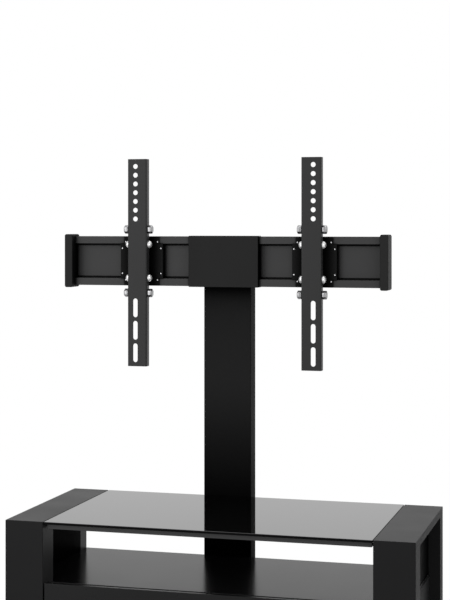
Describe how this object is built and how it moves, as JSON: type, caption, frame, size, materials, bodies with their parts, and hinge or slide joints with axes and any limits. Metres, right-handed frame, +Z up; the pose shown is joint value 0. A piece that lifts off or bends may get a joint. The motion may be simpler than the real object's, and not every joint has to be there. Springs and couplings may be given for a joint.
{
  "type": "tv stand with mount",
  "caption": "Low black TV stand with side hoops, a glass top, an open bay and a wide drawer; a rear column carries a rail with sliding, tilting screen arms.",
  "frame": {"origin": "on the floor, under the middle of the box round the whole object", "axes": "+Z up, -Y to the front, +X to the right as seen from the front"},
  "size_m": [0.807, 0.413, 1.162],
  "materials": {
    "lacquer": "board with a satin black lacquer",
    "dark_glass": "opaque black polished glass",
    "coated_steel": "black powder coat",
    "rail_metal": "black anodised extrusion",
    "black_plastic": "fine grained moulded black",
    "zinc": "bright zinc plate",
    "inner_board": "board with a black melamine face",
    "pad_rubber": "black rubber"
  },
  "bodies": {
    "stand": {"left_front_leg": "lacquer", "left_back_leg": "lacquer", "left_top_board": "lacquer", "left_bottom_board": "lacquer", "right_front_leg": "lacquer", "right_back_leg": "lacquer", "right_top_board": "lacquer", "right_bottom_board": "lacquer", "left_side_glass": "dark_glass", "right_side_glass": "dark_glass", "left_side_board": "lacquer", "right_side_board": "lacquer", "floor_glides": "pad_rubber", "top_glass": "dark_glass", "front_bar": "coated_steel", "rear_bar": "coated_steel", "left_bar": "coated_steel", "right_bar": "coated_steel", "bar_dowels": "zinc", "shelf": "lacquer", "box_floor": "inner_board", "box_back": "inner_board", "left_inner_side": "inner_board", "right_inner_side": "inner_board", "left_fixed_runner": "zinc", "right_fixed_runner": "zinc", "upper_crossbar": "coated_steel", "lower_crossbar": "coated_steel", "upper_bracket": "coated_steel", "lower_bracket": "coated_steel", "bracket_bolts": "zinc", "column": "coated_steel", "column_foot": "black_plastic", "column_cap": "black_plastic", "head_plate": "coated_steel", "rail": "rail_metal", "rail_bolts": "zinc", "left_end_cap": "black_plastic", "right_end_cap": "black_plastic", "centre_cover": "black_plastic"},
    "drawer": {"drawer_front": "lacquer", "left_drawer_side": "inner_board", "right_drawer_side": "inner_board", "drawer_back": "inner_board", "drawer_bottom": "inner_board", "left_drawer_runner": "zinc", "right_drawer_runner": "zinc"},
    "middle_runners": {"left_middle_runner": "zinc", "right_middle_runner": "zinc"},
    "left_slider_body": {"left_slider": "black_plastic", "left_rivets": "zinc", "left_tilt_pin": "coated_steel"},
    "right_slider_body": {"right_slider": "black_plastic", "right_rivets": "zinc", "right_tilt_pin": "coated_steel"},
    "left_arm_body": {"left_arm": "coated_steel", "left_arm_bolts": "zinc"},
    "right_arm_body": {"right_arm": "coated_steel", "right_arm_bolts": "zinc"}
  },
  "joints": [
    {"name": "drawer_slide", "type": "slide", "parent": "stand", "child": "drawer", "axis": [0, -1, 0], "range_m": [0, 0.25]},
    {"name": "middle_runner_slide", "type": "slide", "parent": "stand", "child": "middle_runners", "axis": [0, -1, 0], "range_m": [0, 0.126]},
    {"name": "left_arm_slide", "type": "slide", "parent": "stand", "child": "left_slider_body", "axis": [1, 0, 0], "range_m": [-0.102, 0.057]},
    {"name": "right_arm_slide", "type": "slide", "parent": "stand", "child": "right_slider_body", "axis": [1, 0, 0], "range_m": [-0.069, 0.09]},
    {"name": "left_arm_tilt", "type": "hinge", "parent": "left_slider_body", "child": "left_arm_body", "pos_m": [-0.2345, 0.12156, 0.946], "axis": [1, 0, 0], "range_deg": [0, 8]},
    {"name": "right_arm_tilt", "type": "hinge", "parent": "right_slider_body", "child": "right_arm_body", "pos_m": [0.1415, 0.12156, 0.946], "axis": [1, 0, 0], "range_deg": [0, 8]}
  ],
  "couplings": [
    {"joint": "middle_runner_slide", "follows": "drawer_slide", "ratio": 0.5}
  ]
}
